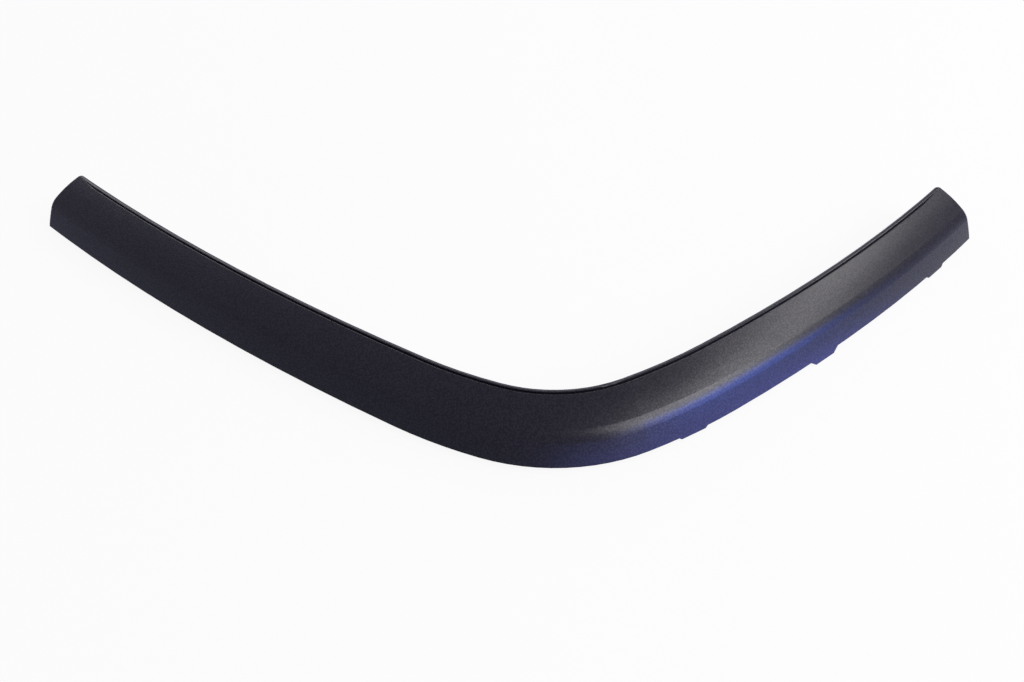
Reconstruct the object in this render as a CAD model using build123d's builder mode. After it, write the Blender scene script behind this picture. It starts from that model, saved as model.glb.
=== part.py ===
from build123d import *
from math import cos, degrees, radians, sin, tan
import os

# A wheel arch trim: one long plastic moulding that follows the arch round a car's wheel.
# It lies with its show face up. The panel side, underneath, is open like an upturned gutter.
# Sizes are in millimetres and degrees. A station is a distance along the outer edge from the left end.

# Outer edge seen from above, from the left end to the right end: arcs that meet in line.
# The arms take in the tails, the last stretch by each end, where the groove runs out.
LEFT_ARM_LENGTH = 390.5
LEFT_ARM_RADIUS = 2050.0
LEFT_EASE_LENGTH = 65.0
LEFT_EASE_RADIUS = 365.0
BEND_LENGTH = 116.5
BEND_RADIUS = 150.0
RIGHT_EASE_LENGTH = 73.5
RIGHT_EASE_RADIUS = 476.0
RIGHT_ARM_LENGTH = 303.0
RIGHT_ARM_RADIUS = 1530.0
TAIL_LENGTH = 30.0
LEFT_TAIL_RADIUS = 1800.0
RIGHT_TAIL_RADIUS = 1400.0
LEFT_END_HEADING = -40.7

# Section of the skin, from the foot of the outer wall up over the shoulder and face to the rim
WALL_THICKNESS = 2.5
FOOT_SLOPE = 67.5
WALL_CROWN_RADIUS = 140.0
WALL_CROWN_ANGLE = 7.0
SHOULDER_RADIUS = 18.0
SHOULDER_ANGLE = 30.0
FACE_CROWN_RADIUS = 86.0
FACE_CROWN_ANGLE = 17.5
RIM_INNER_RADIUS = 1.0
FLANGE_DROP = 5.0
GROOVE_WIDTH = 2.0
GROOVE_DEPTH = 1.2
GROOVE_RUN_OUT = 25.0

# Closed ends, raked so that the rim lies further right than the foot
END_RAKE = 3.0
END_WALL = 2.5
END_ROUND = 3.4
END_SPARE = 10.0

# Tabs on the right arm that carry on the slope of the outer wall, placed from the right end
TAB_TIP_WIDTH = 20.0
TAB_SIDE_SLOPE = 38.0
TAB_THICKNESS = 1.8
TAB_SETBACK = 0.5
TAB_ROOT = 3.0
BEND_TAB_FROM_END = 340.0
BEND_TAB_REACH = 1.8
MIDDLE_TAB_FROM_END = 209.5
MIDDLE_TAB_REACH = 4.4
END_TAB_FROM_END = 61.0
END_TAB_REACH = 2.6

# Clip seats: open-sided boxes in the hollow, whose floor holds the neck of a push-in clip
LEFT_CLIP_FROM_END = 75.0
LEFT_CLIP_PITCH = 190.0
RIGHT_CLIP_FROM_END = 135.0
CLIP_LINE = 23.5
SEAT_LENGTH = 24.0
SEAT_WIDTH = 17.0
SEAT_WALL = 1.8
SEAT_FLOOR = 2.2
SEAT_HEIGHT = 2.0
CLIP_NECK_WIDTH = 7.0

# Ribs across the hollow, evenly spaced between neighbouring clip seats
RIB_SPACING = 100.0
RIB_THICKNESS = 1.6
RIB_FOOT = 8.0

# Screw holes through the return flange: one near each end and one before the bend
SCREW_FROM_END = 28.0
SCREW_BEFORE_BEND = 48.0
SCREW_HOLE_RADIUS = 2.6
SCREW_HEIGHT = 7.0

EDGE_ARCS = (
    (TAIL_LENGTH, LEFT_TAIL_RADIUS),
    (LEFT_ARM_LENGTH - TAIL_LENGTH, LEFT_ARM_RADIUS),
    (LEFT_EASE_LENGTH, LEFT_EASE_RADIUS),
    (BEND_LENGTH, BEND_RADIUS),
    (RIGHT_EASE_LENGTH, RIGHT_EASE_RADIUS),
    (RIGHT_ARM_LENGTH - TAIL_LENGTH, RIGHT_ARM_RADIUS),
    (TAIL_LENGTH, RIGHT_TAIL_RADIUS),
)
EDGE_LENGTH = sum(length for length, radius in EDGE_ARCS)
BEND_MIDDLE = LEFT_ARM_LENGTH + LEFT_EASE_LENGTH + BEND_LENGTH / 2
TABS = (
    (EDGE_LENGTH - BEND_TAB_FROM_END, BEND_TAB_REACH),
    (EDGE_LENGTH - MIDDLE_TAB_FROM_END, MIDDLE_TAB_REACH),
    (EDGE_LENGTH - END_TAB_FROM_END, END_TAB_REACH),
)
CLIP_STATIONS = (
    LEFT_CLIP_FROM_END,
    LEFT_CLIP_FROM_END + LEFT_CLIP_PITCH,
    BEND_MIDDLE,
    EDGE_LENGTH - RIGHT_CLIP_FROM_END,
)
RIB_STATIONS = []
for before, after in zip(CLIP_STATIONS, CLIP_STATIONS[1:]):
    ribs_here = int((after - before) / RIB_SPACING)
    for number in range(1, ribs_here + 1):
        RIB_STATIONS.append(before + (after - before) * number / (ribs_here + 1))
SCREW_STATIONS = (SCREW_FROM_END, BEND_MIDDLE - SCREW_BEFORE_BEND, EDGE_LENGTH - SCREW_FROM_END)
FOOT_TANGENT = Vector(cos(radians(FOOT_SLOPE)), sin(radians(FOOT_SLOPE)))
RIM_SLOPE = FOOT_SLOPE - WALL_CROWN_ANGLE - SHOULDER_ANGLE - FACE_CROWN_ANGLE

# The outer edge itself
with BuildLine() as outer_edge:
    point = Vector(0, 0)
    heading = Vector(1, 0).rotate(Axis.Z, LEFT_END_HEADING)
    edge_arcs = []
    for length, radius in EDGE_ARCS:
        arc = JernArc(start=point, tangent=heading, radius=radius, arc_size=degrees(length / radius))
        edge_arcs.append(arc)
        point = arc @ 1
        heading = arc % 1


def edge_at(station):
    """Point and direction of the outer edge at a station."""
    for arc in edge_arcs[:-1]:
        if station <= arc.length:
            break
        station -= arc.length
    else:
        arc = edge_arcs[-1]
    return arc @ (station / arc.length), arc % (station / arc.length)


def section_plane(station):
    """Plane square across the trim: x runs inward, to the wheel, and y runs up."""
    point, along = edge_at(station)
    return Plane(point, x_dir=Vector(0, 0, 1).cross(along), z_dir=along)


def floor_plane(station):
    """Level plane at the outer wall's foot: x runs along the edge and y runs inward."""
    point, along = edge_at(station)
    return Plane(point, x_dir=along, z_dir=(0, 0, 1))


def end_plane(station):
    """Upright plane across the trim, raked from square so that its inward side lies further right."""
    point, along = edge_at(station)
    return Plane(point, x_dir=(0, 0, 1), z_dir=along.rotate(Axis.Z, -END_RAKE))


def follow_edge(outline, first, last, mode=Mode.ADD):
    """Carry a section along the outer edge, turned about each arc's centre. The last arc may run on."""
    arc_start = 0.0
    for number, (length, radius) in enumerate(EDGE_ARCS, start=1):
        arc_end = arc_start + length
        begin = max(first, arc_start)
        end = last if number == len(EDGE_ARCS) else min(last, arc_end)
        if end > begin:
            plane = section_plane(begin)
            with BuildSketch(plane) as section:
                add(outline)
            turning_axis = Axis(plane.origin + plane.x_dir * radius, (0, 0, 1))
            revolve(section.sketch, turning_axis, degrees((end - begin) / radius), mode=mode)
        arc_start = arc_end


def skin_arcs(depth):
    """Wall, shoulder, face and rim arcs of the section, at a depth below the show surface."""
    foot = Vector(FOOT_TANGENT.Y, -FOOT_TANGENT.X) * depth
    with BuildLine() as arcs:
        wall = JernArc(foot, FOOT_TANGENT, WALL_CROWN_RADIUS - depth, -WALL_CROWN_ANGLE)
        shoulder = JernArc(wall @ 1, wall % 1, SHOULDER_RADIUS - depth, -SHOULDER_ANGLE)
        face = JernArc(shoulder @ 1, shoulder % 1, FACE_CROWN_RADIUS - depth, -FACE_CROWN_ANGLE)
        JernArc(face @ 1, face % 1, RIM_INNER_RADIUS + WALL_THICKNESS - depth, -RIM_SLOPE - 90)
    return arcs.line, face @ 1


show_arcs, rim_start = skin_arcs(0)
back_arcs, _ = skin_arcs(WALL_THICKNESS)
FLANGE_FACE = (show_arcs @ 1).X
FLANGE_BACK = (back_arcs @ 1).X

# Section of the blank: filled under the skin, with the return flange reaching past the outer wall
with BuildSketch() as blank_section:
    with BuildLine():
        add(show_arcs)
        Polyline(
            show_arcs @ 1,
            (FLANGE_FACE, -FLANGE_DROP),
            (FLANGE_BACK - WALL_THICKNESS, -FLANGE_DROP),
            (FLANGE_BACK - WALL_THICKNESS, 0),
            show_arcs @ 0,
        )
    make_face()

# The blank, cut off at the raked ends, with the ends rounded over
with BuildPart() as blank:
    follow_edge(blank_section.sketch, 0, EDGE_LENGTH + END_SPARE)
    split(bisect_by=end_plane(0), keep=Keep.TOP)
    split(bisect_by=end_plane(EDGE_LENGTH), keep=Keep.BOTTOM)
    for end in (end_plane(0), end_plane(EDGE_LENGTH)):
        end_edges = blank.faces().filter_by(end).edges()
        fillet(end_edges.filter_by(lambda edge: edge.center().Z > 0), END_ROUND)
TOP = blank.part.bounding_box().max.Z

# Section of the hollow: one wall thickness inside the skin, open below
with BuildSketch() as hollow_section:
    with BuildLine():
        add(back_arcs)
        Polyline(
            back_arcs @ 1,
            (FLANGE_BACK, -2 * FLANGE_DROP),
            ((back_arcs @ 0).X, -2 * FLANGE_DROP),
            back_arcs @ 0,
        )
    make_face()

# One clip seat: three walls under the face and a floor with a slot that runs out at the open side
with BuildPart() as clip_seat:
    with BuildSketch(Plane.XY.offset(SEAT_HEIGHT)):
        Rectangle(SEAT_LENGTH, SEAT_WIDTH)
    extrude(amount=TOP - SEAT_HEIGHT)
    with BuildSketch(Plane.XY.offset(SEAT_HEIGHT + SEAT_FLOOR)):
        with Locations((SEAT_WALL, 0)):
            Rectangle(SEAT_LENGTH, SEAT_WIDTH - 2 * SEAT_WALL)
    extrude(amount=TOP, mode=Mode.SUBTRACT)
    with BuildSketch(Plane.XY.offset(SEAT_HEIGHT)):
        Circle(CLIP_NECK_WIDTH / 2)
        with Locations((SEAT_LENGTH / 2, 0)):
            Rectangle(SEAT_LENGTH, CLIP_NECK_WIDTH)
    extrude(amount=SEAT_FLOOR, mode=Mode.SUBTRACT)

# One rib, as a slab from wall to flange that the hollow trims to shape
with BuildPart() as rib:
    with BuildSketch(Plane.XY.offset(RIB_FOOT)):
        with Locations((0, FLANGE_FACE / 2)):
            Rectangle(RIB_THICKNESS, FLANGE_FACE)
    extrude(amount=TOP)

# The hollow between the end walls, less what stands in it
with BuildPart() as hollow:
    follow_edge(hollow_section.sketch, 0, EDGE_LENGTH + END_SPARE)
    split(bisect_by=end_plane(0).offset(END_WALL), keep=Keep.TOP)
    split(bisect_by=end_plane(EDGE_LENGTH).offset(-END_WALL), keep=Keep.BOTTOM)
    for station in CLIP_STATIONS:
        with Locations(floor_plane(station) * Location((0, CLIP_LINE, 0))):
            add(clip_seat.part, mode=Mode.SUBTRACT)
    for station in RIB_STATIONS:
        with Locations(floor_plane(station)):
            add(rib.part, mode=Mode.SUBTRACT)

# Section of the groove at the foot of the rim: the face slopes down into it, and the rim steps up out of it
with BuildSketch() as groove_section:
    with Locations(rim_start):
        Polygon(
            (-2 * GROOVE_WIDTH, GROOVE_DEPTH),
            (0, -GROOVE_DEPTH),
            (0, GROOVE_DEPTH),
            rotation=RIM_SLOPE,
            align=None,
        )

# The moulding: the hollow taken out of the blank, then the groove, tabs and screw holes
with BuildPart() as moulding:
    add(blank.part)
    add(hollow.part, mode=Mode.SUBTRACT)
    follow_edge(groove_section.sketch, TAIL_LENGTH, EDGE_LENGTH - TAIL_LENGTH, Mode.SUBTRACT)
    for station, way in ((TAIL_LENGTH, -1), (EDGE_LENGTH - TAIL_LENGTH, 1)):
        across = section_plane(station)
        rising = across.z_dir * way * GROOVE_RUN_OUT + across.y_dir * GROOVE_DEPTH
        with BuildSketch(across):
            add(groove_section.sketch)
        extrude(amount=rising.length, dir=rising, mode=Mode.SUBTRACT)
    for station, reach in TABS:
        foot_plane = floor_plane(station)
        outward = foot_plane.z_dir * FOOT_TANGENT.X - foot_plane.y_dir * FOOT_TANGENT.Y
        tab_plane = Plane(foot_plane.origin - outward * TAB_SETBACK, x_dir=foot_plane.x_dir, z_dir=outward)
        tip = TAB_TIP_WIDTH / 2
        base = tip + reach / tan(radians(TAB_SIDE_SLOPE))
        with BuildSketch(tab_plane):
            Polygon(
                (-tip, -reach),
                (tip, -reach),
                (base, 0),
                (base, TAB_ROOT),
                (-base, TAB_ROOT),
                (-base, 0),
                align=None,
            )
        extrude(amount=-TAB_THICKNESS)
    for station in SCREW_STATIONS:
        across = section_plane(station)
        hole_plane = Plane(
            across.origin + across.x_dir * FLANGE_BACK + across.y_dir * SCREW_HEIGHT,
            x_dir=across.z_dir,
            z_dir=across.x_dir,
        )
        with BuildSketch(hole_plane):
            Circle(SCREW_HOLE_RADIUS)
        extrude(amount=2 * WALL_THICKNESS, both=True, mode=Mode.SUBTRACT)

# The finished trim stands on the lowest edge of its flange, with the origin below its middle
box = moulding.part.bounding_box()
with BuildPart() as wheel_arch_trim:
    with Locations((-box.center().X, -box.center().Y, -box.min.Z)):
        add(moulding.part)

os.makedirs("parts", exist_ok=True)
wheel_arch_trim.part.label = "wheel_arch_trim"
export_step(wheel_arch_trim.part, "parts/wheel_arch_trim.step")
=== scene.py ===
# %% [markdown]
# A wheel arch trim in satin black plastic
#
# The trim is one long plastic moulding that edges the arch over a car's wheel.
# Its solid comes in as a fixed frame, already at its real size and place, in metres.
# It could be modelled again here, but its section, rim, ends, tabs and back are already true, so it is kept.
# What is left to make is its finish, a floor for it to lie on, soft lamps and a camera.

# %% Load the frame
from math import cos, radians, sin, tan

import bpy
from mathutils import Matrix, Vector

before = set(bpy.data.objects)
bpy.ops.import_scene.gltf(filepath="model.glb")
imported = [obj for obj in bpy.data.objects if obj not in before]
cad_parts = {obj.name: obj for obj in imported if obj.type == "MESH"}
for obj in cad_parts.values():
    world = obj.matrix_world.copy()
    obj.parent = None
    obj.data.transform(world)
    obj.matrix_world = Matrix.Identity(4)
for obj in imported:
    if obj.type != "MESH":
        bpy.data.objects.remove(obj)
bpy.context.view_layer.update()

MM = 0.001

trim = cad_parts["wheel_arch_trim"]

# %% [markdown]
# Shader maths as plain sums
#
# A finish is a graph of nodes, and many of those nodes only add or multiply numbers.
# They could be made and linked one by one, but then the sum that they stand for is hard to see.
# Here a small class wraps an output socket, so that the sum is written as a Python expression.
# Every other node comes from one method, which sets the node's own settings before its sockets.

# %% A socket that takes part in sums
class Value:
    """One output socket of a node graph."""

    def __init__(self, graph, socket):
        self.graph = graph
        self.socket = socket

    def _sum(self, operation, first, second):
        return self.graph.node("ShaderNodeMath", {"operation": operation}, {0: first, 1: second})

    def __add__(self, other):
        return self._sum("ADD", self, other)

    def __radd__(self, other):
        return self._sum("ADD", other, self)

    def __sub__(self, other):
        return self._sum("SUBTRACT", self, other)

    def __rsub__(self, other):
        return self._sum("SUBTRACT", other, self)

    def __mul__(self, other):
        return self._sum("MULTIPLY", self, other)

    def __rmul__(self, other):
        return self._sum("MULTIPLY", other, self)


print("a socket can be added, subtracted and multiplied")

# %% The graph that makes the nodes
class Graph:
    """The node graph of one material or of the world."""

    def __init__(self, owner):
        owner.use_nodes = True
        self.tree = owner.node_tree
        self.tree.nodes.clear()

    def node(self, kind, settings=None, sockets=None, output=0):
        made = self.tree.nodes.new(kind)
        for name, setting in (settings or {}).items():
            setattr(made, name, setting)
        for name, given in (sockets or {}).items():
            if isinstance(given, Value):
                self.tree.links.new(given.socket, made.inputs[name])
            else:
                made.inputs[name].default_value = given
        return Value(self, made.outputs[output]) if made.outputs else made


plastic = bpy.data.materials.new("grained_plastic")
graph = Graph(plastic)
print("a bare graph for", plastic.name)

# %% [markdown]
# The grain
#
# The show side of such a mould is spark-eroded, which leaves a fine pebbled grain that takes the glare off.
# Modelling every pebble would take millions of faces, and at arm's length nobody could count them.
# A bump is enough: rounded cells give the pebbles, and a finer noise roughens their tops.
# The same pattern marks the pits between the pebbles, which lie in their shade.

# %% Pebbles with rough tops
PEBBLE_SIZE = 1.3 * MM
PEBBLE_SOFTNESS = 0.6
PEBBLE_SHARE = 0.7
TOOTH_SIZE = 0.35 * MM
TOOTH_DETAIL = 1.0
TOOTH_SHARE = 0.3

place = graph.node("ShaderNodeTexCoord", output="Object")
pebbles = graph.node(
    "ShaderNodeTexVoronoi",
    {"feature": "SMOOTH_F1"},
    {"Vector": place, "Scale": 1 / PEBBLE_SIZE, "Smoothness": PEBBLE_SOFTNESS},
    output="Distance",
)
tooth = graph.node(
    "ShaderNodeTexNoise",
    {},
    {"Vector": place, "Scale": 1 / TOOTH_SIZE, "Detail": TOOTH_DETAIL},
)
grain = PEBBLE_SHARE * pebbles + TOOTH_SHARE * tooth
print("pebbles", round(PEBBLE_SIZE / MM, 2), "mm across with a tooth of", round(TOOTH_SIZE / MM, 2), "mm")

# %% The pits between the pebbles
PIT_EDGE = 0.30
PIT_FLOOR = 0.60


def fade(value, low, high):
    """Rise smoothly from 0 where the value is low to 1 where it is high."""
    return value.graph.node(
        "ShaderNodeMapRange",
        {"interpolation_type": "SMOOTHSTEP"},
        {"Value": value, "From Min": low, "From Max": high},
    )


between = fade(grain, PIT_EDGE, PIT_FLOOR)
print("the pits begin where the grain passes", PIT_EDGE)

# %% [markdown]
# The smooth back
#
# Only the half of the mould that forms the show side is grained.
# The half that forms the hollow is plainly machined, so the back comes out smoother.
# Two materials could say that, but the solid has one slot, and the surface already tells the sides apart:
# nearly all of the back faces down. So the normal fades the grain out and lowers the roughness.

# %% Tell the show side from the back
BACK_TILT = -0.25
SHOW_TILT = -0.05

normal = graph.node("ShaderNodeNewGeometry", output="Normal")
upward = graph.node("ShaderNodeSeparateXYZ", {}, {0: normal}, output="Z")
show_side = fade(upward, BACK_TILT, SHOW_TILT)
pits = between * show_side
print("the grain fades out where the normal's Z falls from", SHOW_TILT, "to", BACK_TILT)

# %% [markdown]
# The black of the plastic
#
# The trim is moulded in black polypropylene that is coloured right through, so it has no paint.
# Such a black is never quite even: it clouds a little where the melt flowed and cooled at its own pace,
# and the tops of the grain, which hands and cloths reach, are worn a shade paler. The pits are darkened
# further with painted shade, for the shade that they lie in.
# A painted texture could give both, but it would need the long bent strip unwrapped.
# Soft noise on the trim's own coordinates has no seams, so it mixes two near blacks, both slightly blue.

# %% Clouded black with painted shade in the pits
FLOW_CLOUD_SIZE = 60 * MM
FLOW_DETAIL = 2.0
FLOW_SHARE = 0.4
TOP_SHARE = 0.6
DARK_CLOUD_AND_PIT_SHADE_BLACK = (0.0030, 0.0030, 0.0055, 1.0)
PALE_CLOUD_AND_TOP_BLACK = (0.0130, 0.0126, 0.0180, 1.0)

# A Mix node keeps its colour sockets behind those for numbers and vectors.
MIX_FIRST, MIX_SECOND, MIX_RESULT = 6, 7, 2


def blend(share, first, second):
    """Mix two colours, the second by its share."""
    return share.graph.node(
        "ShaderNodeMix",
        {"data_type": "RGBA"},
        {"Factor": share, MIX_FIRST: first, MIX_SECOND: second},
        output=MIX_RESULT,
    )


flow = graph.node(
    "ShaderNodeTexNoise",
    {},
    {"Vector": place, "Scale": 1 / FLOW_CLOUD_SIZE, "Detail": FLOW_DETAIL},
)
# The pits take the darker black as painted shade, and the pale tops are partly wear.
clouds_and_pit_shade = FLOW_SHARE * flow + TOP_SHARE * (1 - pits)
black = blend(clouds_and_pit_shade, DARK_CLOUD_AND_PIT_SHADE_BLACK, PALE_CLOUD_AND_TOP_BLACK)
print("black clouds of about", round(FLOW_CLOUD_SIZE / MM), "mm")

# %% [markdown]
# Marks of handling
#
# A trim that has been stored and fitted is polished in some places and scuffed dull in others.
# Those marks are a few millimetres to a few centimetres long and barely change the colour.
# They could be painted on one by one, but no single mark stands out.
# So a broken noise, pushed to sparse patches, makes the plastic rougher there and does nothing else.

# %% Scuffs
SCUFF_SIZE = 14 * MM
SCUFF_DETAIL = 6.0
SCUFF_RAGGEDNESS = 0.65
SCUFF_EDGE = 0.55
SCUFF_MIDDLE = 0.75

handling = graph.node(
    "ShaderNodeTexNoise",
    {},
    {
        "Vector": place,
        "Scale": 1 / SCUFF_SIZE,
        "Detail": SCUFF_DETAIL,
        "Roughness": SCUFF_RAGGEDNESS,
    },
)
scuffs = fade(handling, SCUFF_EDGE, SCUFF_MIDDLE)
print("scuffs of about", round(SCUFF_SIZE / MM), "mm")

# %% How rough each part is
SMOOTH_BACK_ROUGHNESS = 0.24
GRAIN_ROUGHNESS = 0.04
FLOW_ROUGHNESS = 0.05
SCUFF_ROUGHNESS = 0.06

roughness = (
    SMOOTH_BACK_ROUGHNESS
    + GRAIN_ROUGHNESS * show_side
    + FLOW_ROUGHNESS * flow
    + SCUFF_ROUGHNESS * scuffs
)
print("roughness from", SMOOTH_BACK_ROUGHNESS, "on the back")

# %% [markdown]
# The plastic put together
#
# A pit mirrors less than the pebble beside it, because its walls stand in the way.
# Pits cut into the mesh would do that by themselves, but a bump only tilts the surface and leaves it out.
# So a little dull black, which mirrors nothing, is mixed in where the pits are.

# %% The finished plastic
GRAIN_DEPTH = 0.06 * MM
GRAIN_STRENGTH = 0.7
PLASTIC_IOR = 1.50
PIT_BLACK = (0.003, 0.003, 0.004, 1.0)
PIT_SHADE = 0.2

relief = graph.node(
    "ShaderNodeBump",
    {},
    {"Height": grain * show_side, "Strength": GRAIN_STRENGTH, "Distance": GRAIN_DEPTH},
)
pebbled = graph.node(
    "ShaderNodeBsdfPrincipled",
    {},
    {"Base Color": black, "Roughness": roughness, "IOR": PLASTIC_IOR, "Normal": relief},
)
pitted = graph.node(
    "ShaderNodeBsdfPrincipled",
    {},
    {"Base Color": PIT_BLACK, "Roughness": 1.0, "Specular IOR Level": 0.0},
)
surface = graph.node("ShaderNodeMixShader", {}, {0: PIT_SHADE * pits, 1: pebbled, 2: pitted})
graph.node("ShaderNodeOutputMaterial", {}, {"Surface": surface})
trim.material_slots[0].material = plastic
print("the plastic has", len(graph.tree.nodes), "nodes")

# %% [markdown]
# The floor
#
# The trim lies on a wide pale table, which fills the picture behind it.
# More light would turn the table white, but it would grey the plastic too.
# So most of the white is the floor's own glow, which only looking rays meet, and the matt rest keeps
# the shadow. The plastic mirrors the floor as well, in its outer wall most of all, so mirrored rays meet
# tones of their own: dim on the left, where nothing should lift the black, blue outside the right arm,
# and pale further right. A picture of a studio could be mirrored instead, but three tones with soft
# edges are easier to change.

# %% The tones of the mirrored floor
DIM_FLOOR = (0.33, 0.33, 0.46, 1.0)
BLUE_FLOOR = (1.15, 1.24, 3.70, 1.0)
LIT_FLOOR = (0.85, 0.85, 1.02, 1.0)
DIM_FLOOR_END = -0.02
BLUE_FLOOR_START = 0.15
BLUE_FLOOR_END = 0.22
LIT_FLOOR_START = 0.38
OUTWARD = (0.54, -0.84, 0.0)
WHEEL_SIDE_END = 0.06
OUTER_SIDE_START = 0.12

pale = bpy.data.materials.new("pale_floor")
graph = Graph(pale)
floor_place = graph.node("ShaderNodeTexCoord", output="Object")
rightward = graph.node("ShaderNodeSeparateXYZ", {}, {0: floor_place}, output="X")
outward = graph.node(
    "ShaderNodeVectorMath",
    {"operation": "DOT_PRODUCT"},
    {0: floor_place, 1: OUTWARD},
    output="Value",
)
blue_share = fade(rightward, DIM_FLOOR_END, BLUE_FLOOR_START)
lit_share = fade(rightward, BLUE_FLOOR_END, LIT_FLOOR_START)
outer_share = fade(outward, WHEEL_SIDE_END, OUTER_SIDE_START)
near_floor = blend(blue_share * outer_share, DIM_FLOOR, BLUE_FLOOR)
mirrored_floor = blend(lit_share, near_floor, LIT_FLOOR)
print("the mirrored floor is bluest from", BLUE_FLOOR_START, "to", BLUE_FLOOR_END, "m to the right")

# %% Pale floor
FLOOR_SIZE = 12.0
FLOOR_COLOUR = (0.75, 0.75, 0.75, 1.0)
WHITE = (1.0, 1.0, 1.0, 1.0)
SEEN_GLOW = 0.915

seen = graph.node("ShaderNodeLightPath", output="Is Camera Ray")
mirrored = graph.node("ShaderNodeLightPath", output="Is Glossy Ray")
through = graph.node("ShaderNodeLightPath", output="Is Transmission Ray")
glow_share = SEEN_GLOW * seen + SEEN_GLOW * through + mirrored
glow_colour = blend(mirrored, WHITE, mirrored_floor)
matt = graph.node("ShaderNodeBsdfDiffuse", {}, {"Color": FLOOR_COLOUR})
glow = graph.node("ShaderNodeEmission", {}, {"Color": glow_colour, "Strength": 1.0})
floor_surface = graph.node("ShaderNodeMixShader", {}, {0: glow_share, 1: matt, 2: glow})
graph.node("ShaderNodeOutputMaterial", {}, {"Surface": floor_surface})

bpy.ops.object.select_all(action="DESELECT")
bpy.ops.mesh.primitive_plane_add(size=FLOOR_SIZE, location=(0, 0, 0))
floor = bpy.context.object
floor.name = "floor"
floor.data.materials.append(pale)
print("floor", FLOOR_SIZE, "m square")

# %% [markdown]
# The lamps
#
# Satin plastic shows its form by what it mirrors, so each lamp is a softbox with a place in the plastic.
# A sun would be simpler, but it leaves one hard streak and a hard shadow.
# A lamp is placed by its bearing, clockwise from the far side, and its height, both in degrees,
# and sized by how wide and high it looks from the trim. Its power follows from how bright it should look.

# %% A softbox
LAMP_DISTANCE = 2.2
POWER_PER_AREA = 4.0


def add_softbox(name, bearing, elevation, width, height, brightness, colour):
    wide = 2 * LAMP_DISTANCE * tan(radians(width / 2))
    high = 2 * LAMP_DISTANCE * tan(radians(height / 2))
    lamp_data = bpy.data.lights.new(name, "AREA")
    lamp_data.shape = "RECTANGLE"
    lamp_data.size = wide
    lamp_data.size_y = high
    lamp_data.energy = POWER_PER_AREA * wide * high * brightness
    lamp_data.color = colour
    lamp = bpy.data.objects.new(name, lamp_data)
    bpy.context.scene.collection.objects.link(lamp)
    turn, rise = radians(bearing), radians(elevation)
    away = Vector((cos(rise) * sin(turn), cos(rise) * cos(turn), sin(rise)))
    lamp.location = LAMP_DISTANCE * away
    lamp.rotation_euler = away.to_track_quat("Z", "Y").to_euler()
    print(name, round(wide, 2), "by", round(high, 2), "m,", round(lamp_data.energy, 1), "W")
    return lamp


print("a lamp looks as bright as white at", POWER_PER_AREA, "W to the square metre")

# %% [markdown]
# Which lamp does what
#
# The face of the right arm leans to the right and shines, and that of the left arm leans to the left
# and stays black. So the right and the high softbox stand where the right arm alone mirrors them.
# The back softbox draws the fine pale line along the rim of both arms.
# The front softbox and the blue card stand low, for the blue in the right arm's shoulder and wall.
# Blue plastic would be simpler, but it would look blue in any light. The card is hidden from matt
# surfaces, so that it doesn't tint the floor.

# %% The softboxes
WARM_WHITE = (1.0, 0.97, 0.97)
PLAIN_WHITE = (1.0, 1.0, 1.0)
PALE_BLUE = (0.6, 0.6, 1.0)
STRONG_BLUE = (0.12, 0.22, 1.0)

add_softbox(
    "right_softbox", bearing=121, elevation=35, width=36, height=34, brightness=3.6, colour=WARM_WHITE
)
add_softbox(
    "high_softbox", bearing=72, elevation=43, width=60, height=11, brightness=4.6, colour=WARM_WHITE
)
add_softbox(
    "back_softbox", bearing=-16, elevation=25, width=60, height=22, brightness=1.45, colour=PLAIN_WHITE
)
add_softbox(
    "front_softbox", bearing=136, elevation=12, width=20, height=18, brightness=2.0, colour=PALE_BLUE
)
blue_card = add_softbox(
    "blue_card", bearing=115, elevation=13, width=26, height=26, brightness=7.5, colour=STRONG_BLUE
)
blue_card.visible_diffuse = False

# %% [markdown]
# The room
#
# Between the lamps the plastic mirrors the room, which also fills the shadows.
# White all round would turn the black plastic grey, and no room at all would hide its form.
# So the room is one dim and slightly blue tone.

# %% Dim room
ROOM_LIGHT = (0.345, 0.335, 0.455, 1.0)

world = bpy.data.worlds.new("studio")
bpy.context.scene.world = world
graph = Graph(world)
room = graph.node("ShaderNodeBackground", {}, {"Color": ROOM_LIGHT, "Strength": 1.0})
graph.node("ShaderNodeOutputWorld", {}, {"Surface": room})
print("room light", ROOM_LIGHT[:3])

# %% [markdown]
# The camera
#
# The trim is seen square on from half way up, so that both arms rise to the sides.
# A camera could be keyed in by its place and turn, but then a small change upsets the framing.
# Placed by the point it looks at, a height angle and a distance, it is easy to change.

# %% Place the camera
CAMERA_TARGET = Vector((0.0053, -0.0265, 0.005))
CAMERA_ELEVATION = radians(45)
CAMERA_DISTANCE = 0.675
# Blender takes the lens and the sensor in millimetres.
CAMERA_LENS = 31.64
SENSOR_WIDTH = 36

camera_data = bpy.data.cameras.new("camera")
camera_data.sensor_width = SENSOR_WIDTH
camera_data.lens = CAMERA_LENS
camera = bpy.data.objects.new("camera", camera_data)
bpy.context.scene.collection.objects.link(camera)
towards_camera = Vector((0, -cos(CAMERA_ELEVATION), sin(CAMERA_ELEVATION)))
camera.location = CAMERA_TARGET + towards_camera * CAMERA_DISTANCE
camera.rotation_euler = towards_camera.to_track_quat("Z", "Y").to_euler()
bpy.context.scene.camera = camera
print("camera at", [round(along, 3) for along in camera.location])

# %% [markdown]
# The finish
#
# The picture shows colours as they are. A film look could be laid over them, but it would shift the black.

# %% Finish
bpy.context.scene.view_settings.view_transform = "Standard"
